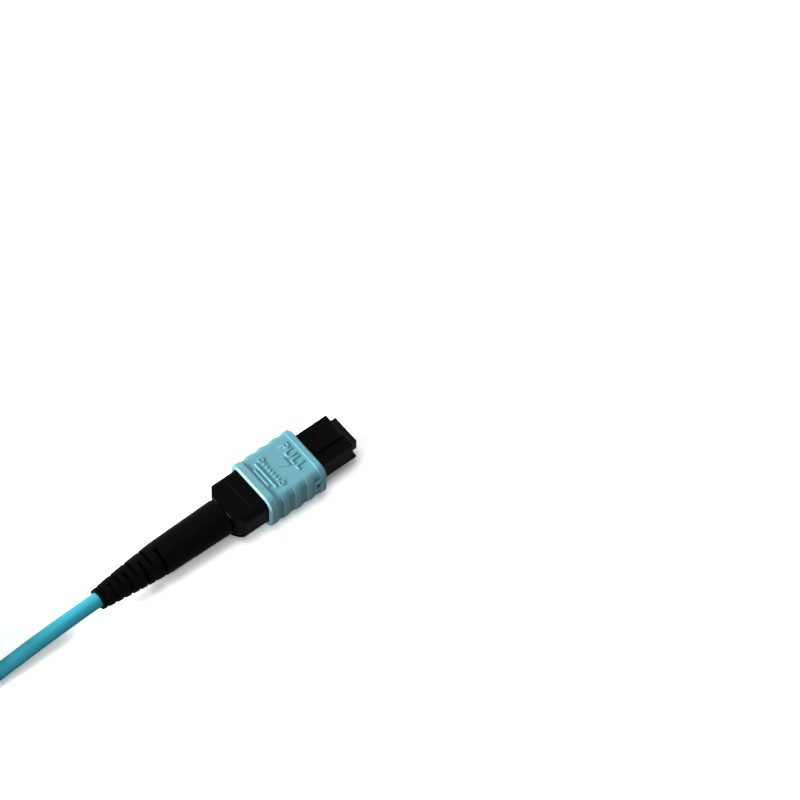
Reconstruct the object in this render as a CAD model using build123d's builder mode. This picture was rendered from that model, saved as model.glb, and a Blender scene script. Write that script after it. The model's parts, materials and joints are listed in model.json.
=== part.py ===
from build123d import *
import math
import os

# A multi-fibre push-on connector on the end of a patch cord, in millimetres.
# +X is the mating direction, +Z is up, and the origin lies on the bench under the middle of the
# near connector. The cord runs away along -X to a folded hank that carries the second connector.

# Lengths along the axis, from the ferrule's tip back to the boot's tail
ferrule_stick_out = 1.55
housing_show = 7.8
coupling_length = 13.05
housing_tail_show = 2.95
push_flange_length = 4.15
boot_length = 28.9
connector_length = (
    ferrule_stick_out + housing_show + coupling_length + housing_tail_show + push_flange_length + boot_length
)

# Coupling, the sliding grip
coupling_width = 12.4
coupling_height = 8.6
coupling_corner = 2.35
rear_rim_length = 1.65
front_rim_length = 1.25
rim_round = 0.25
panel_recess = 0.35
waist_width = 11.5
waist_corner = 1.35
rib_count = 3
rib_pitch = 2.87
rib_depth = 0.35
rib_crest_flat = 1.1
rib_rear_flank = 0.1
rib_front_flank = 0.7
first_rib_from_rear = 3.6
coupling_travel = 2.5
web_length = 1.1
web_from_rear = 6.75
tail_side_gap = 0.15
tail_top_gap = 0.2
hook_side_space = 1.15
front_cavity_top_gap = 0.3
front_cavity_corner = 0.9
window_gap = 0.15
pad_length = 1.8
pad_height = 2.8
pad_rise = 0.35
pad_up = 0.45
pad_hole = 0.65
arrow_length = 2.1
arrow_width = 2.3
arrow_rise = 0.2
arrow_from_front = 4.7

# Front housing, with its key rail, ferrule window and tail block
housing_width = 8.3
housing_height = 5.2
housing_corner = 0.25
housing_edge = 0.2
tail_width = 10.5
tail_height = 6.4
tail_corner = 1.4
tail_rise = 0.2
tail_block_inside = 2.25
tail_rear_edge = 0.12
key_width = 3.0
key_height = 0.6
key_ramp = 0.9
key_gap = 0.15
lip_reach = 0.57
lip_height = 0.85
ferrule_window_gap = 0.08
chamber_width = 7.2
chamber_height = 4.0
chamber_corner = 0.6
hook_pocket_length = 2.0
hook_pocket_height = 3.2
hook_pocket_depth = 0.5
stop_bump_length = 1.25
stop_bump_height = 3.0
stop_bump_rise = 0.5
stop_gap = 0.05
latch_window_length = 1.4
latch_window_width = 3.0
latch_window_land = 0.4

# Ferrule, its fibres and what stands behind it
ferrule_width = 6.4
ferrule_height = 2.5
ferrule_length = 8.0
ferrule_edge = 0.15
ferrule_flange_width = 7.0
ferrule_flange_height = 3.0
ferrule_flange_length = 2.0
ferrule_seat_gap = 0.05
guide_hole = 0.35
guide_hole_pitch = 4.6
fibre_count = 12
fibre_pitch = 0.25
fibre_radius = 0.0625
fibre_hole = 0.08
fibre_reach = 4.1
ribbon_pocket_width = 3.4
ribbon_pocket_height = 1.2
ribbon_pocket_depth = 3.9
glue_window_width = 3.0
glue_window_length = 1.4
glue_window_from_tip = 4.4
ribbon_width = 3.1
ribbon_height = 0.3
ribbon_length = 19.8
ferrule_boot_width = 3.3
ferrule_boot_height = 1.1
ferrule_boot_length = 3.6
ferrule_boot_in_pocket = 2.0
ferrule_boot_slot_gap = 0.02
spacer_length = 2.2
spacer_window_width = 6.0
spacer_window_height = 1.7
ferrule_travel = 1.0
fibre_end_gap = 0.1

# Springs
main_spring_wire = 0.5
main_spring_width = 6.6
main_spring_height = 3.5
main_spring_corner = 1.3
main_spring_turns = 5
side_spring_wire = 0.2
side_spring_radius = 0.4
side_spring_turns = 8
spring_end_gap = 0.02

# Spring push, the rear body that closes the housing and carries the crimp
push_block_gap = 0.05
push_block_length = 8.2
push_flange_cut_length = 1.8
push_flange_cut_width = 2.5
push_flange_edge = 0.15
latch_nub_gap = 0.1
latch_nub_rise = 0.45
push_slot_width = 4.4
push_slot_height = 2.4
push_slot_end_wall = 1.6
neck_radius = 2.0
neck_bore = 1.2
neck_length = 5.9
gate_mark_radius = 0.5
gate_mark_depth = 0.06
gate_mark_behind_seam = 1.05
gate_mark_side = 2.5

# Crimp, boot and the end of the cable inside them
yarn_thickness = 0.2
yarn_end_gap = 0.45
crimp_bore_gap = 0.02
crimp_wall = 0.35
crimp_front_length = 5.5
crimp_cone_length = 0.8
crimp_rear_length = 3.4
cable_radius = 1.5
jacket_wall = 0.45
boot_root_radius = 3.7
boot_shoulder_radius = 3.46
boot_mid_radius = 2.84
boot_tail_radius = 2.12
boot_slotted_length = 14.5
boot_mid_from_tail = 6.9
boot_root_edge = 0.2
boot_cavity_gap = 0.08
boot_bore_gap = 0.08
boot_cavity_spare = 0.6
slot_width = 0.75
slot_first_from_tail = 1.45
slot_pitch = 1.745
slot_last_extra = 0.45
slot_count = 8
slot_floor_wall = 0.25

# Cord, hank and its two bands
hank_near_centre_x = -70.0
hank_run = 45.7
hank_outer_lane = 12.4
hank_lanes = 2
hank_layers = 3
hank_lane_pitch = 3.2
hank_edge_round = 1.2
lead_in_gap = 0.1
tie_thickness = 0.35
tie_gap = 0.05
tie_length = 5.0
left_band_from_end = 2.7
near_tie_from_far_tail = 7.0
rest_gap = 0.05
far_tail_from_centre = 4.0
lead_out_on_leg = 30.5
boot_tail_straight = 5.0

overrun = 1.0

# Places worked out from those sizes
axis_height = coupling_height / 2
tip_x = connector_length / 2
housing_front_x = tip_x - ferrule_stick_out
coupling_front_x = housing_front_x - housing_show
coupling_rear_x = coupling_front_x - coupling_length
seam_x = coupling_rear_x - housing_tail_show
push_rear_x = seam_x - push_flange_length
boot_tail_x = push_rear_x - boot_length
tail_front_x = coupling_rear_x + tail_block_inside
web_rear_x = coupling_rear_x + web_from_rear
web_front_x = web_rear_x + web_length
ferrule_rear_x = tip_x - ferrule_length
shoulder_x = ferrule_rear_x + ferrule_flange_length + ferrule_seat_gap
spacer_rear_x = ferrule_rear_x - spacer_length
push_front_x = seam_x + push_block_length
neck_end_x = push_rear_x - neck_length
cable_diameter = cable_radius * 2


def section_at(x):
    """A plane across the connector's axis, with Y across and Z up."""
    return Plane(origin=(x, 0, axis_height), x_dir=(0, 1, 0), z_dir=(1, 0, 0))


profile_plane = Plane(origin=(0, 0, axis_height), x_dir=(1, 0, 0), z_dir=(0, -1, 0))
connector_axis = Axis((0, 0, axis_height), (1, 0, 0))

# Coupling: a sleeve with flat panels above and below, ribs down its sides and a raised rim at each end
panel_height = coupling_height / 2 - panel_recess
waist_length = coupling_length - rear_rim_length - front_rim_length
rib_width = waist_width + rib_depth * 2
rib_corner = waist_corner + rib_depth
first_rib_x = coupling_rear_x + first_rib_from_rear
window_width = housing_width + window_gap * 2
window_height = housing_height + window_gap * 2
key_top = housing_height / 2 + key_height
slot_top = key_top + key_gap
key_slot_width = key_width + key_gap * 2
hook_cavity_width = housing_width + hook_side_space * 2

with BuildPart() as coupling:
    with BuildSketch(section_at(coupling_rear_x + rear_rim_length)):
        RectangleRounded(waist_width, panel_height * 2, waist_corner)
    extrude(amount=waist_length)
    for rib in range(rib_count):
        crest_rear_x = first_rib_x + rib_pitch * rib - rib_crest_flat / 2
        crest_front_x = crest_rear_x + rib_crest_flat
        for start, start_size, end, end_size in (
            (crest_rear_x - rib_rear_flank, (waist_width, waist_corner), crest_rear_x, (rib_width, rib_corner)),
            (crest_rear_x, (rib_width, rib_corner), crest_front_x, (rib_width, rib_corner)),
            (crest_front_x, (rib_width, rib_corner), crest_front_x + rib_front_flank, (waist_width, waist_corner)),
        ):
            for x, (width, corner) in ((start, start_size), (end, end_size)):
                with BuildSketch(section_at(x)):
                    RectangleRounded(width, panel_height * 2, corner)
            loft(ruled=True)
    for rim_x, rim_length in (
        (coupling_rear_x, rear_rim_length),
        (coupling_front_x - front_rim_length, front_rim_length),
    ):
        with BuildSketch(section_at(rim_x)):
            RectangleRounded(coupling_width, coupling_height, coupling_corner)
        extrude(amount=rim_length)
    # Pads near mid height behind the front rim
    pad_rear_x = coupling_front_x - front_rim_length - pad_length + rim_round
    with BuildSketch(Plane.XY.offset(axis_height + pad_up - pad_height / 2)):
        for side in (1, -1):
            with Locations((pad_rear_x + pad_length / 2, side * (coupling_width / 2 - pad_rise))):
                Rectangle(pad_length, pad_rise * 2)
    extrude(amount=pad_height)
    chamfer(coupling.faces().sort_by(Axis.X)[0].outer_wire().edges(), rim_round)
    chamfer(coupling.faces().sort_by(Axis.X)[-1].outer_wire().edges(), rim_round)
    # Rear cavity over the housing's tail block
    with BuildSketch(section_at(coupling_rear_x - overrun)):
        with Locations((0, tail_rise)):
            RectangleRounded(tail_width + tail_side_gap * 2, tail_height + tail_top_gap * 2,
                             tail_corner + tail_side_gap)
    extrude(amount=web_from_rear + overrun, mode=Mode.SUBTRACT)
    # Front cavity, where an adapter's hooks reach in beside the housing
    with BuildSketch(section_at(web_front_x)):
        RectangleRounded(hook_cavity_width, housing_height + front_cavity_top_gap * 2, front_cavity_corner)
    extrude(amount=coupling_front_x - web_front_x + overrun, mode=Mode.SUBTRACT)
    # Window in the web, with its key slot right to the front
    with BuildSketch(section_at(web_rear_x - overrun)):
        Rectangle(window_width, window_height)
    extrude(amount=web_length + overrun * 2, mode=Mode.SUBTRACT)
    with BuildSketch(section_at(web_rear_x - overrun)):
        with Locations((0, slot_top / 2)):
            Rectangle(key_slot_width, slot_top)
    extrude(amount=coupling_front_x - web_rear_x + overrun * 2, mode=Mode.SUBTRACT)
    # Round hole through each pad into the front cavity
    for side in (1, -1):
        hole_plane = Plane(
            origin=(pad_rear_x + pad_length / 2, side * (coupling_width / 2 + overrun), axis_height + pad_up),
            x_dir=(1, 0, 0), z_dir=(0, -side, 0),
        )
        with BuildSketch(hole_plane):
            Circle(pad_hole)
        extrude(amount=(coupling_width - hook_cavity_width) / 2 + overrun * 2, mode=Mode.SUBTRACT)
    # Raised arrow on the top panel, pointing back along the cable
    with BuildSketch(Plane.XY.offset(axis_height + panel_height)):
        arrow_base_x = coupling_front_x - arrow_from_front
        with BuildLine():
            Polyline(
                (arrow_base_x, arrow_width / 2), (arrow_base_x - arrow_length, 0),
                (arrow_base_x, -arrow_width / 2), close=True,
            )
        make_face()
    extrude(amount=arrow_rise)

# Front housing: the nose that enters an adapter, and the tail block that the coupling slides over
stop_rear_x = web_front_x + stop_gap
hook_pocket_x = coupling_front_x - coupling_travel + stop_gap
latch_window_x = tail_front_x - latch_window_land - latch_window_length

with BuildPart() as front_housing:
    with BuildSketch(section_at(seam_x)):
        with Locations((0, tail_rise)):
            RectangleRounded(tail_width, tail_height, tail_corner)
    extrude(amount=tail_front_x - seam_x)
    chamfer(front_housing.faces().sort_by(Axis.X)[0].edges(), length=tail_rear_edge)
    with BuildSketch(section_at(tail_front_x)):
        RectangleRounded(housing_width, housing_height, housing_corner)
    extrude(amount=housing_front_x - tail_front_x)
    chamfer(front_housing.faces().sort_by(Axis.X)[-1].outer_wire().edges(), housing_edge)
    # Key rail with its ramped front
    with BuildSketch(profile_plane):
        with BuildLine():
            Polyline(
                (tail_front_x, housing_height / 2), (tail_front_x, key_top),
                (housing_front_x - key_ramp, key_top), (housing_front_x, housing_height / 2),
                (housing_front_x, housing_height / 2 - housing_edge),
                (tail_front_x, housing_height / 2 - housing_edge), close=True,
            )
        make_face()
    extrude(amount=key_width / 2, both=True)
    # Lip along the bottom of the nose
    with BuildSketch(section_at(housing_front_x - overrun)):
        with Locations((0, (lip_height - housing_height) / 2)):
            RectangleRounded(housing_width, lip_height, housing_corner)
    extrude(amount=overrun + lip_reach)
    # Stops that hold the coupling's web, and the pockets behind them for the adapter's hooks
    with BuildSketch(Plane.XY.offset(axis_height - stop_bump_height / 2)):
        for side in (1, -1):
            with BuildLine():
                Polyline(
                    (stop_rear_x, side * (housing_width / 2 - stop_bump_rise)),
                    (stop_rear_x, side * (housing_width / 2 + stop_bump_rise)),
                    (stop_rear_x + stop_bump_length / 2, side * (housing_width / 2 + stop_bump_rise)),
                    (stop_rear_x + stop_bump_length, side * housing_width / 2),
                    (stop_rear_x + stop_bump_length, side * (housing_width / 2 - stop_bump_rise)),
                    close=True,
                )
            make_face()
    extrude(amount=stop_bump_height)
    with BuildSketch(Plane.XY.offset(axis_height - hook_pocket_height / 2)):
        for side in (1, -1):
            with Locations((hook_pocket_x + hook_pocket_length / 2, side * housing_width / 2)):
                Rectangle(hook_pocket_length, hook_pocket_depth * 2)
    extrude(amount=hook_pocket_height, mode=Mode.SUBTRACT)
    # Window for the ferrule, then the wider chamber for its flange, the spring and the spring push
    with BuildSketch(section_at(seam_x - overrun)):
        Rectangle(ferrule_width + ferrule_window_gap * 2, ferrule_height + ferrule_window_gap * 2)
    extrude(amount=housing_front_x - seam_x + overrun * 3, mode=Mode.SUBTRACT)
    with BuildSketch(section_at(seam_x - overrun)):
        RectangleRounded(chamber_width, chamber_height, chamber_corner)
    extrude(amount=shoulder_x - seam_x + overrun, mode=Mode.SUBTRACT)
    # Windows above and below for the latch nubs of the spring push
    with BuildSketch(Plane.XY.offset(axis_height)):
        with Locations((latch_window_x + latch_window_length / 2, 0)):
            Rectangle(latch_window_length, latch_window_width)
    extrude(amount=tail_height / 2 + overrun, both=True, mode=Mode.SUBTRACT)

# Ferrule: a moulded block with two guide holes and a row of twelve fibre holes
fibre_back_x = tip_x - fibre_reach
ribbon_rear_x = fibre_back_x - ribbon_length
guide_places = [(guide_hole_pitch / 2, 0), (-guide_hole_pitch / 2, 0)]

with BuildPart() as ferrule:
    with BuildSketch(section_at(ferrule_rear_x)):
        Rectangle(ferrule_width, ferrule_height)
    extrude(amount=ferrule_length)
    chamfer(ferrule.faces().sort_by(Axis.X)[-1].outer_wire().edges(), ferrule_edge)
    with BuildSketch(section_at(ferrule_rear_x)):
        RectangleRounded(ferrule_flange_width, ferrule_flange_height, ferrule_edge)
    extrude(amount=ferrule_flange_length)
    with BuildSketch(section_at(ferrule_rear_x - overrun)):
        with Locations(*guide_places):
            Circle(guide_hole)
    extrude(amount=ferrule_length + overrun * 2, mode=Mode.SUBTRACT)
    with BuildSketch(section_at(ferrule_rear_x - overrun)):
        Rectangle(ribbon_pocket_width, ribbon_pocket_height)
    extrude(amount=ribbon_pocket_depth + overrun, mode=Mode.SUBTRACT)
    with BuildSketch(section_at(ferrule_rear_x + ribbon_pocket_depth - overrun)):
        with GridLocations(fibre_pitch, fibre_pitch, fibre_count, 1):
            Circle(fibre_hole)
    extrude(amount=ferrule_length - ribbon_pocket_depth + overrun * 2, mode=Mode.SUBTRACT)
    with BuildSketch(Plane.XY.offset(axis_height)):
        with Locations((tip_x - glue_window_from_tip, 0)):
            Rectangle(glue_window_length, glue_window_width)
    extrude(amount=ferrule_height, mode=Mode.SUBTRACT)

with BuildPart() as fibre_array:
    with BuildSketch(section_at(fibre_back_x)):
        with GridLocations(fibre_pitch, fibre_pitch, fibre_count, 1):
            Circle(fibre_radius)
    extrude(amount=fibre_reach)

with BuildPart() as fibre_ribbon:
    with BuildSketch(section_at(ribbon_rear_x)):
        RectangleRounded(ribbon_width, ribbon_height, ribbon_height / 3)
    extrude(amount=ribbon_length)

with BuildPart() as ferrule_boot:
    with BuildSketch(section_at(ferrule_rear_x + ferrule_boot_in_pocket - ferrule_boot_length)):
        RectangleRounded(ferrule_boot_width, ferrule_boot_height, ferrule_boot_height / 4)
        Rectangle(ribbon_width + ferrule_boot_slot_gap, ribbon_height + ferrule_boot_slot_gap,
                  mode=Mode.SUBTRACT)
    extrude(amount=ferrule_boot_length)

with BuildPart() as pin_spacer:
    with BuildSketch(section_at(spacer_rear_x)):
        RectangleRounded(ferrule_flange_width, ferrule_flange_height, ferrule_edge)
        RectangleRounded(spacer_window_width, spacer_window_height, spacer_window_height / 4, mode=Mode.SUBTRACT)
    extrude(amount=spacer_length)

# Main spring: an oval wire coil that the ribbon passes through
main_spring_rear_x = push_front_x + main_spring_wire / 2 + spring_end_gap
main_spring_front_x = spacer_rear_x - main_spring_wire / 2 - spring_end_gap
coil_half_width = (main_spring_width - main_spring_wire) / 2
coil_half_height = (main_spring_height - main_spring_wire) / 2
coil_corner_signs = [(1, 1), (-1, 1), (-1, -1), (1, -1)]
coil_corner_count = main_spring_turns * len(coil_corner_signs)
coil_points = []
for corner in range(coil_corner_count + 1):
    across, up = coil_corner_signs[corner % len(coil_corner_signs)]
    coil_points.append((
        main_spring_rear_x + (main_spring_front_x - main_spring_rear_x) * corner / coil_corner_count,
        across * coil_half_width,
        axis_height + up * coil_half_height,
    ))

with BuildPart() as ferrule_spring:
    with BuildLine() as spring_path:
        FilletPolyline(*coil_points, radius=main_spring_corner)
    with BuildSketch(Plane(origin=spring_path.line @ 0, z_dir=spring_path.line % 0)):
        Circle(main_spring_wire / 2)
    sweep(path=spring_path.line)

# Side springs: they push the coupling forward from the housing's tail block
side_spring_rear_x = tail_front_x + side_spring_wire / 2 + spring_end_gap
side_spring_length = web_rear_x - tail_front_x - side_spring_wire - spring_end_gap * 2
side_spring_y = housing_width / 2 + hook_side_space / 2


def side_spring(side):
    """One round wire coil beside the housing, on the side of +Y or -Y."""
    with BuildPart() as spring:
        with BuildLine() as coil:
            Helix(side_spring_length / side_spring_turns, side_spring_length, side_spring_radius,
                  center=(side_spring_rear_x, side * side_spring_y, axis_height), direction=(1, 0, 0))
        path = coil.wire()
        with BuildSketch(Plane(origin=path @ 0, z_dir=path % 0)):
            Circle(side_spring_wire / 2)
        sweep(path=path, is_frenet=True)
    return spring


coupling_spring_left = side_spring(1)
coupling_spring_right = side_spring(-1)

# Spring push: a block latched in the housing, a flange with cut-back corners and a neck
slot_end_x = push_rear_x + push_slot_end_wall
bundle_front_x = ribbon_rear_x - ferrule_travel - fibre_end_gap
block_width = chamber_width - push_block_gap * 2
block_height = chamber_height - push_block_gap * 2
nub_length = latch_window_length - latch_nub_gap * 2
nub_width = latch_window_width - latch_nub_gap * 2

flange_cut_slope = push_flange_cut_width / push_flange_cut_length

with BuildPart() as spring_push:
    with BuildSketch(section_at(push_rear_x)):
        with Locations((0, tail_rise)):
            RectangleRounded(tail_width, tail_height, tail_corner)
    extrude(amount=push_flange_length)
    with BuildSketch(Plane.XY.offset(axis_height)):
        for side in (1, -1):
            with BuildLine():
                Polyline(
                    (push_rear_x - overrun,
                     side * (tail_width / 2 - push_flange_cut_width - overrun * flange_cut_slope)),
                    (push_rear_x - overrun, side * (tail_width / 2 + overrun)),
                    (push_rear_x + push_flange_cut_length + overrun / flange_cut_slope,
                     side * (tail_width / 2 + overrun)),
                    close=True,
                )
            make_face()
    extrude(amount=tail_height, both=True, mode=Mode.SUBTRACT)
    chamfer(spring_push.faces().sort_by(Axis.X)[0].edges(), length=push_flange_edge)
    with BuildSketch(section_at(seam_x)):
        RectangleRounded(block_width, block_height, chamber_corner - push_block_gap)
    extrude(amount=push_block_length)
    with BuildSketch(Plane.XY.offset(axis_height)):
        with Locations((latch_window_x + latch_window_length / 2, 0)):
            Rectangle(nub_length, nub_width)
    extrude(amount=block_height / 2 + latch_nub_rise, both=True)
    with BuildSketch(section_at(neck_end_x)):
        Circle(neck_radius)
    extrude(amount=neck_length)
    with BuildSketch(section_at(slot_end_x)):
        RectangleRounded(push_slot_width, push_slot_height, push_slot_height / 4)
    extrude(amount=push_front_x - slot_end_x + overrun, mode=Mode.SUBTRACT)
    with BuildSketch(section_at(neck_end_x - overrun)):
        Circle(neck_bore)
    extrude(amount=slot_end_x - neck_end_x + overrun * 2, mode=Mode.SUBTRACT)
    with BuildSketch(Plane.XY.offset(axis_height + tail_rise + tail_height / 2 - gate_mark_depth)):
        with Locations((seam_x - gate_mark_behind_seam, gate_mark_side)):
            Circle(gate_mark_radius)
    extrude(amount=overrun, mode=Mode.SUBTRACT)

# Aramid yarn folded over the neck, and the crimp ring that grips it and the jacket
yarn_front_x = push_rear_x - yarn_end_gap
yarn_radius = neck_radius + yarn_thickness
crimp_bore = yarn_radius + crimp_bore_gap
jacket_front_x = yarn_front_x - crimp_front_length - crimp_cone_length
jacket_bore = cable_radius + crimp_bore_gap

with BuildPart() as aramid_yarn:
    with BuildSketch(section_at(neck_end_x)):
        Circle(yarn_radius)
        Circle(neck_radius, mode=Mode.SUBTRACT)
    extrude(amount=yarn_front_x - neck_end_x)

with BuildPart() as crimp_ring:
    with BuildSketch(profile_plane):
        with BuildLine():
            Polyline(
                (yarn_front_x, crimp_bore), (yarn_front_x, crimp_bore + crimp_wall),
                (yarn_front_x - crimp_front_length, crimp_bore + crimp_wall),
                (jacket_front_x, jacket_bore + crimp_wall),
                (jacket_front_x - crimp_rear_length, jacket_bore + crimp_wall),
                (jacket_front_x - crimp_rear_length, jacket_bore),
                (jacket_front_x, jacket_bore), (yarn_front_x - crimp_front_length, crimp_bore),
                close=True,
            )
        make_face()
    revolve(axis=connector_axis)

# Cable inside the boot: its jacket, and the loose fibres that go on into the spring push
bundle_radius = cable_radius - jacket_wall
with BuildPart() as cable_jacket_end:
    with BuildSketch(section_at(boot_tail_x)):
        Circle(cable_radius)
        Circle(bundle_radius, mode=Mode.SUBTRACT)
    extrude(amount=jacket_front_x - boot_tail_x)

with BuildPart() as fibre_bundle:
    with BuildSketch(section_at(boot_tail_x)):
        Circle(bundle_radius)
    extrude(amount=bundle_front_x - boot_tail_x)

# Boot: a soft tapered tube with staggered slots along its tail
shoulder_from_tail_x = boot_tail_x + boot_slotted_length
boot_cavity = crimp_bore + crimp_wall + boot_cavity_gap
boot_cavity_end_x = jacket_front_x - crimp_rear_length - boot_cavity_spare
boot_bore = cable_radius + boot_bore_gap
slot_bridges = [((152, 31), (334, 30)), ((47, 32), (270, 30))]

with BuildPart() as cable_boot:
    with BuildSketch(profile_plane):
        with BuildLine():
            ThreePointArc(
                (boot_tail_x, boot_tail_radius), (boot_tail_x + boot_mid_from_tail, boot_mid_radius),
                (shoulder_from_tail_x, boot_shoulder_radius),
            )
            Polyline(
                (shoulder_from_tail_x, boot_shoulder_radius),
                (push_rear_x - boot_root_edge, boot_root_radius),
                (push_rear_x, boot_root_radius - boot_root_edge),
                (push_rear_x, boot_cavity), (boot_cavity_end_x, boot_cavity),
                (boot_cavity_end_x, boot_bore), (boot_tail_x, boot_bore),
                (boot_tail_x, boot_tail_radius),
            )
        make_face()
    revolve(axis=connector_axis)
    for slot in range(slot_count):
        slot_from_tail = slot_first_from_tail + slot_pitch * slot
        if slot == slot_count - 1:
            slot_from_tail += slot_last_extra
        with BuildSketch(section_at(boot_tail_x + slot_from_tail - slot_width)):
            Circle(boot_root_radius + overrun)
            Circle(boot_bore + slot_floor_wall, mode=Mode.SUBTRACT)
            for middle, half in slot_bridges[slot % 2]:
                reach = boot_root_radius * 4
                edges_at = [math.radians(middle - half), math.radians(middle + half)]
                with BuildLine():
                    Polyline(
                        (0, 0), *[(reach * math.cos(turn), reach * math.sin(turn)) for turn in edges_at],
                        close=True,
                    )
                make_face(mode=Mode.SUBTRACT)
        extrude(amount=slot_width, mode=Mode.SUBTRACT)

connector_pieces = {
    "coupling": coupling,
    "front_housing": front_housing,
    "ferrule": ferrule,
    "fibre_array": fibre_array,
    "fibre_ribbon": fibre_ribbon,
    "ferrule_boot": ferrule_boot,
    "pin_spacer": pin_spacer,
    "ferrule_spring": ferrule_spring,
    "coupling_spring_left": coupling_spring_left,
    "coupling_spring_right": coupling_spring_right,
    "spring_push": spring_push,
    "aramid_yarn": aramid_yarn,
    "crimp_ring": crimp_ring,
    "cable_jacket_end": cable_jacket_end,
    "fibre_bundle": fibre_bundle,
    "cable_boot": cable_boot,
}

# Hank: the cord folded into a racetrack, two lanes wide and three layers high, on two thin bands
hank_centre_y = hank_outer_lane
hank_middle_x = hank_near_centre_x - hank_run / 2
hank_outer = hank_outer_lane + cable_radius
hank_inner = hank_outer_lane - hank_lane_pitch * (hank_lanes - 1) - cable_radius
hank_bottom = tie_thickness + tie_gap
hank_top = hank_bottom + cable_diameter * hank_layers

with BuildPart() as cable_hank:
    with BuildSketch(Plane.XY.offset(hank_bottom)):
        with Locations((hank_middle_x, hank_centre_y)):
            SlotCenterToCenter(hank_run, hank_outer * 2)
            SlotCenterToCenter(hank_run, hank_inner * 2, mode=Mode.SUBTRACT)
    extrude(amount=hank_top - hank_bottom)
    fillet(cable_hank.edges().group_by(Axis.Z)[0] + cable_hank.edges().group_by(Axis.Z)[-1], hank_edge_round)

# Lead-in: from the boot's tail down to the bench and along to the hank
lead_in_end_x = hank_near_centre_x + math.sqrt(hank_outer ** 2 - (hank_centre_y - cable_radius) ** 2) + lead_in_gap
lead_in_points = [
    (boot_tail_x, 0, axis_height),
    (boot_tail_x - boot_tail_straight, 0, axis_height),
    (-44.0, 0, 3.5),
    (-51.5, 0, 2.4),
    (lead_in_end_x, 0, hank_bottom + cable_radius),
]

# Lead-out: from the hank's top round its near end and up into the second connector's boot
far_axis_height = hank_top + rest_gap + axis_height
far_lane_y = hank_centre_y - (hank_outer + hank_inner) / 2
far_tail_x = hank_near_centre_x - far_tail_from_centre
lead_out_z = hank_top + cable_radius + rest_gap
lead_out_y = hank_centre_y + hank_inner + cable_radius
lead_out_start_x = hank_near_centre_x - lead_out_on_leg
lead_out_points = [
    (lead_out_start_x, lead_out_y, lead_out_z),
    (-65.8, lead_out_y, 11.1),
    (-59.9, 15.8, 11.8),
    (-59.9, 7.4, 12.6),
    (-65.8, far_lane_y, far_axis_height),
    (far_tail_x, far_lane_y, far_axis_height),
]


def cord_tube(name, points):
    """A round tube of straight runs joined by tangent arcs as large as the runs allow."""
    radii = []
    for before, here, after in zip(points, points[1:], points[2:]):
        run_in = Vector(*here) - Vector(*before)
        run_out = Vector(*after) - Vector(*here)
        half_turn = math.radians(run_in.get_angle(run_out)) / 2
        radii.append(0.45 * min(run_in.length, run_out.length) / math.tan(half_turn))
    print(name, "bend radii:", " ".join(f"{radius:.1f}" for radius in radii))
    with BuildPart() as tube:
        with BuildLine() as route:
            FilletPolyline(*points, radius=radii)
        path = route.wire()
        with BuildSketch(Plane(origin=path @ 0, z_dir=path % 0)):
            Circle(cable_radius)
        sweep(path=path)
    expected = math.pi * cable_radius ** 2 * path.length
    print(name, f"volume {tube.part.volume:.1f}, section times length {expected:.1f}")
    return tube


cable = cord_tube("cable", lead_in_points)
cable_lead_out = cord_tube("cable_lead_out", lead_out_points)

# Bands round each leg of the hank
leg_width = hank_outer - hank_inner
band_inner_width = leg_width + tie_gap * 2
band_inner_height = hank_top - hank_bottom + tie_gap * 2
band_round = hank_edge_round + tie_gap


def hank_band(x, side):
    """A thin band round one leg of the hank, on the side of +Y or -Y."""
    middle_y = hank_centre_y + side * (hank_outer + hank_inner) / 2
    middle_z = (hank_top + hank_bottom) / 2
    with BuildPart() as band:
        with BuildSketch(Plane(origin=(x - tie_length / 2, middle_y, middle_z), x_dir=(0, 1, 0), z_dir=(1, 0, 0))):
            RectangleRounded(band_inner_width + tie_thickness * 2, band_inner_height + tie_thickness * 2,
                             band_round + tie_thickness)
            RectangleRounded(band_inner_width, band_inner_height, band_round, mode=Mode.SUBTRACT)
        extrude(amount=tie_length)
    return band


hank_band_left = hank_band(hank_near_centre_x - hank_run + left_band_from_end, 1)
hank_band_right = hank_band(far_tail_x - near_tie_from_far_tail, -1)

cord_pieces = {
    "cable": cable,
    "cable_hank": cable_hank,
    "cable_lead_out": cable_lead_out,
    "hank_band_left": hank_band_left,
    "hank_band_right": hank_band_right,
}

# The second connector is the same set of pieces, turned round and laid on the hank
far_place = Location(
    (far_tail_x + boot_tail_x, far_lane_y, far_axis_height - axis_height), (0, 0, 180)
)

os.makedirs("parts", exist_ok=True)
for name, piece in (connector_pieces | cord_pieces).items():
    piece.part.label = name
    export_step(piece.part, f"parts/{name}.step")

for name, piece in connector_pieces.items():
    with BuildPart() as far_piece:
        with Locations(far_place):
            add(piece.part)
    far_piece.part.label = f"far_{name}"
    export_step(far_piece.part, f"parts/far_{name}.step")
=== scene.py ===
"""Finishes, cord, lettering and studio for the multi-fibre push-on connector and its folded patch cord."""
import json
import math

import bmesh
import bpy
from mathutils import Matrix, Vector


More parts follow.
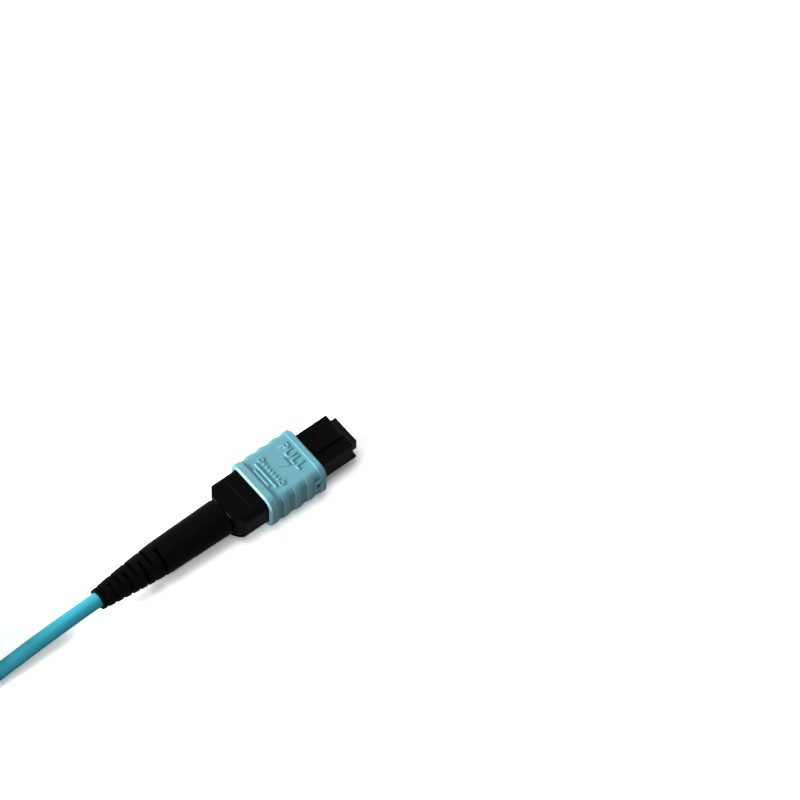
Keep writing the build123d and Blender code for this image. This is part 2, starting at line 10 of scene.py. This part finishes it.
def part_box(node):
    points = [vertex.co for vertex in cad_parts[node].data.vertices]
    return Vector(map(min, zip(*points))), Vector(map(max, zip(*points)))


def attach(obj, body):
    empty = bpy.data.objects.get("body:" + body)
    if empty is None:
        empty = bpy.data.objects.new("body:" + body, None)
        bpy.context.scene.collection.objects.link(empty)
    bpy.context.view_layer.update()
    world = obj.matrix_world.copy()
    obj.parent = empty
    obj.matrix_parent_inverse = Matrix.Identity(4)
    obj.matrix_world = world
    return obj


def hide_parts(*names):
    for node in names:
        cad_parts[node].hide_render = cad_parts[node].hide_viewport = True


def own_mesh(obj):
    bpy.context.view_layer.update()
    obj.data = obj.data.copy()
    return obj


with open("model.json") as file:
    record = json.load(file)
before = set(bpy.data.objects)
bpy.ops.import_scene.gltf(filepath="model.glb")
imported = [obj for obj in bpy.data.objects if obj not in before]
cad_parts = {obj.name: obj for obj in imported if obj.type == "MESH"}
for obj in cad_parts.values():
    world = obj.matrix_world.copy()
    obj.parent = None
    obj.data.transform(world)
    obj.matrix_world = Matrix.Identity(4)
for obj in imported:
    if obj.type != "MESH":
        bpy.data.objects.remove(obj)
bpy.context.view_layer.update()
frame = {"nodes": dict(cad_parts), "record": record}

MM = 0.001


def millimetres(*values):
    """A point given in millimetres, as metres."""
    return Vector(values) * MM


# Finishes

def linear(code):
    """An sRGB hex colour as linear red, green and blue, with full alpha."""
    shares = [int(code[i:i + 2], 16) / 255 for i in (1, 3, 5)]
    return [c / 12.92 if c <= 0.04045 else ((c + 0.055) / 1.055) ** 2.4 for c in shares] + [1.0]


def add_node(tree, kind, settings=None, links=None):
    """A node with its own settings or socket values, and the sockets that feed it."""
    node = tree.nodes.new(kind)
    for key, value in (settings or {}).items():
        if isinstance(key, str) and key in node.bl_rna.properties:
            setattr(node, key, value)
        else:
            node.inputs[key].default_value = value
    for key, source in (links or {}).items():
        tree.links.new(source, node.inputs[key])
    return node


def finish(name, shader):
    """A new material with one Principled shader of those settings; returns it, its tree and the shader."""
    material = bpy.data.materials.new(name)
    material.use_nodes = True
    tree = material.node_tree
    tree.nodes.clear()
    surface = add_node(tree, "ShaderNodeBsdfPrincipled", shader)
    add_node(tree, "ShaderNodeOutputMaterial", links={"Surface": surface.outputs["BSDF"]})
    return material, tree, surface


def moulded(name, colour, shade, grain_mm, grain_depth, edge_mm, shader, mottle_mm=3.0, rough=(0.4, 0.5)):
    """Moulded plastic: a spark-eroded grain, a faint flow mottle and edges rounded by the tool."""
    material, tree, surface = finish(name, shader)
    place = add_node(tree, "ShaderNodeTexCoord").outputs["Object"]
    mottle = add_node(tree, "ShaderNodeTexNoise", {"Scale": 1 / (mottle_mm * MM), "Detail": 3.0},
                      {"Vector": place})
    tint = add_node(tree, "ShaderNodeMix", {"data_type": "RGBA", 6: linear(colour), 7: linear(shade)},
                    {0: mottle.outputs["Fac"]})
    grain = add_node(tree, "ShaderNodeTexNoise", {"Scale": 1 / (grain_mm * MM), "Detail": 2.0},
                     {"Vector": place})
    gloss = add_node(tree, "ShaderNodeMapRange", {"To Min": rough[0], "To Max": rough[1]},
                     {"Value": grain.outputs["Fac"]})
    edge = add_node(tree, "ShaderNodeBevel", {"samples": 6, "Radius": edge_mm * MM})
    bump = add_node(tree, "ShaderNodeBump", {"Strength": 0.5, "Distance": grain_depth * MM},
                    {"Height": grain.outputs["Fac"], "Normal": edge.outputs["Normal"]})
    tree.links.new(tint.outputs[2], surface.inputs["Base Color"])
    tree.links.new(gloss.outputs["Result"], surface.inputs["Roughness"])
    tree.links.new(bump.outputs["Normal"], surface.inputs["Normal"])
    return material


# PBT, injection moulded and pigmented aqua: even colour, satin, with soft edges
aqua_pbt = moulded("aqua_pbt", "#76b5c2", "#70aebc", 0.18, 0.006, 0.05,
                   {"Specular IOR Level": 0.45, "Specular Tint": linear("#cdf0f7"), "IOR": 1.54},
                   rough=(0.26, 0.36))
# Glass-filled PEI, moulded black: deep, almost no sheen, thin light lines on its edges
black_pei = moulded("black_pei", "#040404", "#030303", 0.16, 0.006, 0.08,
                    {"Specular IOR Level": 0.025, "IOR": 1.6}, rough=(0.3, 0.42))
# Thermoplastic elastomer, moulded black: softer edges and a duller surface than the housing
boot_tpe = moulded("boot_tpe", "#060606", "#050505", 0.2, 0.008, 0.1,
                   {"Specular IOR Level": 0.025, "IOR": 1.5}, rough=(0.4, 0.52))
# Silica-filled PPS, moulded and polished at the end: dark grey with pale specks
ferrule_pps = moulded("ferrule_pps", "#131212", "#0b0b0b", 0.1, 0.004, 0.06,
                      {"Specular IOR Level": 0.06, "IOR": 1.6}, mottle_mm=0.3, rough=(0.3, 0.42))
# PBT, moulded grey: the spacer behind the ferrule
grey_pbt = moulded("grey_pbt", "#3c3d3f", "#343537", 0.16, 0.006, 0.08,
                   {"Specular IOR Level": 0.3, "IOR": 1.54})
# Silicone, moulded black: the ferrule's soft boot
black_silicone = moulded("black_silicone", "#141414", "#0f0f0f", 0.2, 0.004, 0.1,
                         {"Specular IOR Level": 0.25, "IOR": 1.41}, rough=(0.55, 0.65))
# UV-cured acrylate over the fibres: milky, slightly glossy
ribbon_acrylate = moulded("ribbon_acrylate", "#c9d4cf", "#bccac6", 0.12, 0.004, 0.05,
                          {"Specular IOR Level": 0.5, "IOR": 1.5}, rough=(0.25, 0.35))


def drawn_metal(name, colour, shade, line_mm, shader):
    """Bare metal with fine lines along the axis that it was drawn or rolled in."""
    material, tree, surface = finish(name, {"Metallic": 1.0, **shader})
    place = add_node(tree, "ShaderNodeTexCoord").outputs["Object"]
    along = add_node(tree, "ShaderNodeMapping", {"Scale": (0.08, 1.0, 1.0)}, {"Vector": place})
    lines = add_node(tree, "ShaderNodeTexNoise", {"Scale": 1 / (line_mm * MM), "Detail": 4.0},
                     {"Vector": along.outputs["Vector"]})
    tint = add_node(tree, "ShaderNodeMix", {"data_type": "RGBA", 6: linear(colour), 7: linear(shade)},
                    {0: lines.outputs["Fac"]})
    gloss = add_node(tree, "ShaderNodeMapRange", {"To Min": 0.22, "To Max": 0.42},
                     {"Value": lines.outputs["Fac"]})
    bump = add_node(tree, "ShaderNodeBump", {"Strength": 0.3, "Distance": 0.004 * MM},
                    {"Height": lines.outputs["Fac"]})
    tree.links.new(tint.outputs[2], surface.inputs["Base Color"])
    tree.links.new(gloss.outputs["Result"], surface.inputs["Roughness"])
    tree.links.new(bump.outputs["Normal"], surface.inputs["Normal"])
    return material


# Stainless spring wire, drawn: bright and slightly lined
spring_stainless = drawn_metal("spring_stainless", "#c9c8c4", "#a9a8a4", 0.12, {})
# Nickel-plated brass, turned: warm silver
crimp_nickel = drawn_metal("crimp_nickel", "#cfc9b8", "#b3ab97", 0.2, {})

# Aramid yarn: straw-yellow filaments with a silky sheen, drawn coarser than the real ones
aramid, tree, surface = finish("aramid", {"Roughness": 0.6, "Sheen Weight": 0.4, "Specular IOR Level": 0.3})
place = add_node(tree, "ShaderNodeTexCoord").outputs["Object"]
along = add_node(tree, "ShaderNodeMapping", {"Scale": (0.05, 1.0, 1.0)}, {"Vector": place})
filaments = add_node(tree, "ShaderNodeTexNoise", {"Scale": 1 / (0.15 * MM), "Detail": 3.0},
                     {"Vector": along.outputs["Vector"]})
tint = add_node(tree, "ShaderNodeMix", {"data_type": "RGBA", 6: linear("#d9bb4e"), 7: linear("#a8842a")},
                {0: filaments.outputs["Fac"]})
bump = add_node(tree, "ShaderNodeBump", {"Strength": 0.7, "Distance": 0.05 * MM},
                {"Height": filaments.outputs["Fac"]})
tree.links.new(tint.outputs[2], surface.inputs["Base Color"])
tree.links.new(bump.outputs["Normal"], surface.inputs["Normal"])

# Fused silica: clear rods, seen as pale points in the polished face
silica, tree, surface = finish("silica", {"IOR": 1.457, "Roughness": 0.05, "Transmission Weight": 0.6})
place = add_node(tree, "ShaderNodeTexCoord").outputs["Object"]
haze = add_node(tree, "ShaderNodeTexNoise", {"Scale": 1 / (0.1 * MM)}, {"Vector": place})
tint = add_node(tree, "ShaderNodeMix", {"data_type": "RGBA", 6: linear("#e4f0f4"), 7: linear("#c4d8de")},
                {0: haze.outputs["Fac"]})
tree.links.new(tint.outputs[2], surface.inputs["Base Color"])

# Low-smoke jacket, extruded aqua: smooth, with long faint draw lines and a soft gloss
jacket, tree, surface = finish("jacket", {"Specular IOR Level": 0.15, "IOR": 1.5})
place = add_node(tree, "ShaderNodeTexCoord").outputs["UV"]
along = add_node(tree, "ShaderNodeMapping", {"Scale": (40.0, 60.0, 1.0)}, {"Vector": place})
lines = add_node(tree, "ShaderNodeTexNoise", {"Scale": 1.0, "Detail": 3.0},
                 {"Vector": along.outputs["Vector"]})
tint = add_node(tree, "ShaderNodeMix", {"data_type": "RGBA", 6: linear("#42c0d6"), 7: linear("#3eb7cf")},
                {0: lines.outputs["Fac"]})
gloss = add_node(tree, "ShaderNodeMapRange", {"To Min": 0.34, "To Max": 0.46},
                 {"Value": lines.outputs["Fac"]})
bump = add_node(tree, "ShaderNodeBump", {"Strength": 0.3, "Distance": 0.02 * MM},
                {"Height": lines.outputs["Fac"]})
tree.links.new(tint.outputs[2], surface.inputs["Base Color"])
tree.links.new(gloss.outputs["Result"], surface.inputs["Roughness"])
tree.links.new(bump.outputs["Normal"], surface.inputs["Normal"])

# Hook-and-loop tape: black nylon loops, drawn 0.35 mm across so that they show
loop_nylon, tree, surface = finish("loop_nylon", {"Roughness": 0.85, "Sheen Weight": 0.3,
                                                  "Specular IOR Level": 0.2})
place = add_node(tree, "ShaderNodeTexCoord").outputs["Object"]
loops = add_node(tree, "ShaderNodeTexVoronoi", {"Scale": 1 / (0.35 * MM)}, {"Vector": place})
# Lighter on the loop tops and darker in the hollows between them, following the bump: painted shade
tint = add_node(tree, "ShaderNodeMix", {"data_type": "RGBA", 6: linear("#1d1d1e"), 7: linear("#060606")},
                {0: loops.outputs["Distance"]})
bump = add_node(tree, "ShaderNodeBump", {"Strength": 1.0, "Distance": 0.12 * MM, "invert": True},
                {"Height": loops.outputs["Distance"]})
tree.links.new(tint.outputs[2], surface.inputs["Base Color"])
tree.links.new(bump.outputs["Normal"], surface.inputs["Normal"])

finishes = {
    "coupling": aqua_pbt, "front_housing": black_pei, "ferrule": ferrule_pps, "fibre_array": silica,
    "fibre_ribbon": ribbon_acrylate, "ferrule_boot": black_silicone, "pin_spacer": grey_pbt,
    "ferrule_spring": spring_stainless, "coupling_spring_left": spring_stainless,
    "coupling_spring_right": spring_stainless, "spring_push": black_pei, "aramid_yarn": aramid,
    "crimp_ring": crimp_nickel, "cable_jacket_end": jacket, "fibre_bundle": ribbon_acrylate,
    "cable_boot": boot_tpe, "hank_band_left": loop_nylon, "hank_band_right": loop_nylon,
}
for name, piece in frame["nodes"].items():
    material = finishes.get(name.removeprefix("far_"), jacket)
    piece.data.materials.clear()
    piece.data.materials.append(material)

# Each spring that a joint presses gets a mesh of its own
for joint in frame["record"]["behaviour"]["joints"]:
    for spring in joint["deforming_nodes"]:
        low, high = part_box(spring["node"])
        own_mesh(frame["nodes"][spring["node"]])


# Cord: 1.0 m of 3 mm cable, from the boot down to the bench and round the folded hank
CABLE = 3.0
LAYER = 3.0
FIRST_LAYER = 1.9
HANK_NEAR, HANK_FAR, HANK_Y = -70.0, -115.7, 12.4
OUTER, INNER = 12.4, 9.2
NEAR_LEG_STEPS, FAR_LEG_STEPS, BEND_STEPS = 3, 6, 6
LEAD_IN = [(-29.2, 0, 4.3), (-34.2, 0, 4.3), (-44.0, 0, 3.5), (-51.5, 0, 2.4), (-61.2, 0, FIRST_LAYER)]
LEAD_OUT = [(-100.5, 21.6, 10.95), (-65.8, 21.6, 11.1), (-59.9, 15.8, 11.8), (-59.9, 7.4, 12.6),
            (-65.8, 1.6, 13.75), (-74.0, 1.6, 13.75)]

# Where each turn lies: its lane and its layer. It moves to the next one's place on the far leg.
places = [(OUTER, 0), (INNER, 0), (INNER, 1), (OUTER, 1), (OUTER, 2), (INNER, 2)]
bend_step = math.pi / BEND_STEPS
# A control point on an arc stands this much outside the curve that it makes
outside = 1 / (0.75 + 0.25 * math.cos(bend_step))


def bend(end, side, lane, height):
    """Control points of the half turn round an end of the hank: side is -1 at the far end and 1 at the near."""
    reach = side * lane * outside
    return [(end + reach * math.sin(bend_step * step), HANK_Y + reach * math.cos(bend_step * step), height)
            for step in range(1, BEND_STEPS)]


route = list(LEAD_IN)
for turn, (lane, layer) in enumerate(places):
    height = FIRST_LAYER + LAYER * layer
    for step in range(NEAR_LEG_STEPS + 1):
        route.append((HANK_NEAR + (HANK_FAR - HANK_NEAR) * step / NEAR_LEG_STEPS, HANK_Y - lane, height))
    route += bend(HANK_FAR, -1, lane, height)
    last = turn == len(places) - 1
    # Each turn changes over one step earlier than the turn before; the last one leaves the hank there
    changes_after = len(places) - turn
    for step in range(FAR_LEG_STEPS + 1):
        if step > changes_after:
            if last:
                break
            lane, layer = places[turn + 1]
        route.append((HANK_FAR + (HANK_NEAR - HANK_FAR) * step / FAR_LEG_STEPS, HANK_Y + lane,
                      FIRST_LAYER + LAYER * layer))
    if not last:
        lane, layer = places[turn + 1]
        route += bend(HANK_NEAR, 1, lane, FIRST_LAYER + LAYER * layer)
route += LEAD_OUT

line = bpy.data.curves.new("patch_cord", "CURVE")
line.dimensions = "3D"
line.bevel_depth = CABLE / 2 * MM
line.bevel_resolution = 7
line.resolution_u = 10
line.use_fill_caps = True
spline = line.splines.new("NURBS")
spline.points.add(len(route) - 1)
for point, (x, y, z) in zip(spline.points, route):
    point.co = (x * MM, y * MM, z * MM, 1)
spline.order_u = 3
spline.use_endpoint_u = True
spline.use_smooth = True
line.materials.append(jacket)
patch_cord = bpy.data.objects.new("patch_cord", line)
bpy.context.collection.objects.link(patch_cord)
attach(patch_cord, "root")
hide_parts("cable", "cable_hank", "cable_lead_out")


# Lettering and marks raised on the coupling's top panel

COUPLING_FRONT = 19.85
PANEL_RECESS = 0.35
# Along the panel, places are counted back from the coupling's front face
WORD_HEIGHT, WORD_BACK, WORD_LEFT, WORD_SPACING = 2.65, 3.2, 0.35, 1.14
ROW_BACK = 8.3
DOMES, DOME_PITCH, DOME_RADIUS = 6, 0.84, 0.32
RING_OUT, RING_STEPS = 3.1, 32
# The ring's section as radius and height, from its outer foot up, across and down its bore
RING_SECTION = ((0.62, -0.05), (0.6, 0.15), (0.55, 0.2), (0.33, 0.2), (0.28, 0.15), (0.26, -0.05))
# The bars by how far they lie behind the row, and their length across the panel
BARS = ((1.3, 6.6), (2.25, 4.6))
BAR_WIDTH, BAR_HEIGHT, BAR_ROUND = 0.5, 0.46, 0.17

low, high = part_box("coupling")
PANEL_Z = high.z / MM - PANEL_RECESS
near_place = Matrix.Identity(4)
far_low, far_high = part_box("far_coupling")
far_place = Matrix.Translation((far_low.x + high.x, (far_low.y + far_high.y) / 2, far_low.z - low.z)) @ \
    Matrix.Rotation(math.pi, 4, "Z")


def placed(name, mesh, where, body):
    """A finished mesh as a piece at its place in the row frame, riding on its coupling."""
    mesh = mesh.copy()
    mesh.transform(where)
    mesh.materials.clear()
    mesh.materials.append(aqua_pbt)
    piece = bpy.data.objects.new(name, mesh)
    bpy.context.collection.objects.link(piece)
    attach(piece, body)
    return piece


def raised_word(text, size_mm, spacing):
    """A word of round-topped strokes, which reads across the connector with its top towards the ferrule."""
    words = bpy.data.curves.new("word", "FONT")
    words.body = text
    words.size = size_mm * MM
    words.align_x, words.align_y = "CENTER", "CENTER"
    words.extrude = 0.05 * MM
    words.bevel_depth = 0.15 * MM
    words.bevel_resolution = 3
    words.offset = -0.05 * MM
    words.space_character = spacing
    holder = bpy.data.objects.new("word", words)
    bpy.context.collection.objects.link(holder)
    bpy.context.view_layer.update()
    mesh = bpy.data.meshes.new_from_object(holder.evaluated_get(bpy.context.evaluated_depsgraph_get()))
    bpy.data.objects.remove(holder)
    bpy.data.curves.remove(words)
    # Text runs along its own X, so it is turned to run towards -Y
    mesh.transform(Matrix.Rotation(-math.pi / 2, 4, "Z"))
    return mesh


word = raised_word("PULL", WORD_HEIGHT, WORD_SPACING)
word.transform(Matrix.Translation(millimetres(COUPLING_FRONT - WORD_BACK, WORD_LEFT, PANEL_Z)))


def fibre_row_mark():
    """A raised sign for a row of fibres: a row of domes between two guide rings, over two rounded bars."""
    mark = bmesh.new()
    row_x = COUPLING_FRONT - ROW_BACK
    for i in range(DOMES):
        dome = bmesh.ops.create_uvsphere(mark, u_segments=20, v_segments=10, radius=DOME_RADIUS * MM)["verts"]
        bmesh.ops.scale(mark, vec=(1.5, 1, 0.6), verts=dome)
        across = (i - (DOMES - 1) / 2) * DOME_PITCH
        bmesh.ops.translate(mark, vec=millimetres(row_x, across, PANEL_Z), verts=dome)
    for side in (1, -1):
        centre = millimetres(row_x, side * RING_OUT, PANEL_Z)
        points = [mark.verts.new(centre + millimetres(radius, 0, height)) for radius, height in RING_SECTION]
        lines = [mark.edges.new(pair) for pair in zip(points, points[1:])]
        bmesh.ops.spin(mark, geom=points + lines, cent=centre, axis=(0, 0, 1), angle=math.tau,
                       steps=RING_STEPS, use_merge=True)
    for behind, length in BARS:
        bar = bmesh.ops.create_cube(mark, size=MM)["verts"]
        bmesh.ops.scale(mark, vec=(BAR_WIDTH, length, BAR_HEIGHT), verts=bar)
        bmesh.ops.translate(mark, vec=millimetres(row_x - behind, 0, PANEL_Z), verts=bar)
        edges = {edge for vert in bar for edge in vert.link_edges}
        bmesh.ops.bevel(mark, geom=list(edges), offset=BAR_ROUND * MM, affect="EDGES", segments=4,
                        profile=0.5, material=-1)
    bmesh.ops.recalc_face_normals(mark, faces=mark.faces)
    mesh = bpy.data.meshes.new("fibre_row_mark")
    mark.to_mesh(mesh)
    mark.free()
    return mesh


row_mark = fibre_row_mark()
for prefix, where in (("", near_place), ("far_", far_place)):
    for name, mesh in (("pull_word", word), ("fibre_row_mark", row_mark)):
        piece = placed(prefix + name, mesh, where, prefix + "coupling")


# Studio: a white bench, a lamp above, two low ones towards the cable, and a camera at the photograph's angle

BENCH_REACH = 3.0
LAMP_DISTANCE = 0.9
SENSOR_MM, LENS_MM, CAMERA_DISTANCE = 36, 1200, 4.9383

bench_mesh = bmesh.new()
bmesh.ops.create_grid(bench_mesh, x_segments=1, y_segments=1, size=BENCH_REACH)
bench_data = bpy.data.meshes.new("bench")
bench_mesh.to_mesh(bench_data)
bench_mesh.free()
bench = bpy.data.objects.new("bench", bench_data)
bpy.context.collection.objects.link(bench)
bench_white = bpy.data.materials.new("bench_white")
bench_white.use_nodes = True
tree = bench_white.node_tree
tree.nodes.clear()
ray = add_node(tree, "ShaderNodeLightPath")
mirrored = add_node(tree, "ShaderNodeMath", {"operation": "MAXIMUM"},
                    {0: ray.outputs["Is Glossy Ray"], 1: ray.outputs["Is Transmission Ray"]})
bounce = add_node(tree, "ShaderNodeBsdfDiffuse", {"Color": linear("#606060")})
paper = add_node(tree, "ShaderNodeBsdfDiffuse", {"Color": linear("#f4f4f4")})
# Counted three times for the camera, so that only the deep part of the shadow shows on the white
double = add_node(tree, "ShaderNodeAddShader", links={0: paper.outputs[0], 1: paper.outputs[0]})
bright = add_node(tree, "ShaderNodeAddShader", links={0: double.outputs[0], 1: paper.outputs[0]})
seen = add_node(tree, "ShaderNodeMixShader", links={0: mirrored.outputs[0], 1: bounce.outputs[0],
                                                    2: paper.outputs[0]})
mixed = add_node(tree, "ShaderNodeMixShader", links={0: ray.outputs["Is Camera Ray"], 1: seen.outputs[0],
                                                     2: bright.outputs[0]})
add_node(tree, "ShaderNodeOutputMaterial", links={"Surface": mixed.outputs[0]})
bench_data.materials.append(bench_white)

world = bpy.data.worlds.new("studio")
bpy.context.scene.world = world
world.use_nodes = True
tree = world.node_tree
tree.nodes.clear()
ray = add_node(tree, "ShaderNodeLightPath")
mirrored = add_node(tree, "ShaderNodeMath", {"operation": "MAXIMUM"},
                    {0: ray.outputs["Is Glossy Ray"], 1: ray.outputs["Is Transmission Ray"]})
looked_at = add_node(tree, "ShaderNodeMath", {"operation": "MAXIMUM"},
                     {0: ray.outputs["Is Camera Ray"], 1: mirrored.outputs[0]})
room = add_node(tree, "ShaderNodeBackground", {"Color": (1, 1, 1, 1), "Strength": 0.2})
white = add_node(tree, "ShaderNodeBackground", {"Color": (1, 1, 1, 1), "Strength": 1.0})
mixed = add_node(tree, "ShaderNodeMixShader", links={0: looked_at.outputs[0], 1: room.outputs[0],
                                                     2: white.outputs[0]})
add_node(tree, "ShaderNodeOutputWorld", links={"Surface": mixed.outputs[0]})


def softbox(name, direction, size, power):
    """A square lamp that faces the middle of the connector from that direction, with its side in metres."""
    data = bpy.data.lights.new(name, "AREA")
    data.shape = "SQUARE"
    data.size = size
    data.energy = power
    lamp = bpy.data.objects.new(name, data)
    lamp.location = Vector(direction).normalized() * LAMP_DISTANCE
    lamp.rotation_euler = (-Vector(direction)).to_track_quat("-Z", "Y").to_euler()
    bpy.context.collection.objects.link(lamp)


softbox("overhead", (-0.05, 0.12, 1.0), 0.35, 1.6)
softbox("from_behind", (-0.8, 0.47, 0.33), 0.2, 11.5)
softbox("from_the_tail", (-1.0, -0.08, 0.17), 0.35, 6.0)

scene = bpy.context.scene
scene.view_settings.view_transform = "Standard"
aim = millimetres(37.93, -5.0, 13.48)
towards_camera = Vector((-0.3194, -0.4059, 0.8563)).normalized()
camera_data = bpy.data.cameras.new("camera")
camera_data.lens = LENS_MM
camera_data.sensor_width = SENSOR_MM
camera_data.clip_start = 0.01
camera = bpy.data.objects.new("camera", camera_data)
camera.location = aim + towards_camera * CAMERA_DISTANCE
camera.rotation_euler = (-towards_camera).to_track_quat("-Z", "Y").to_euler()
bpy.context.collection.objects.link(camera)
scene.camera = camera
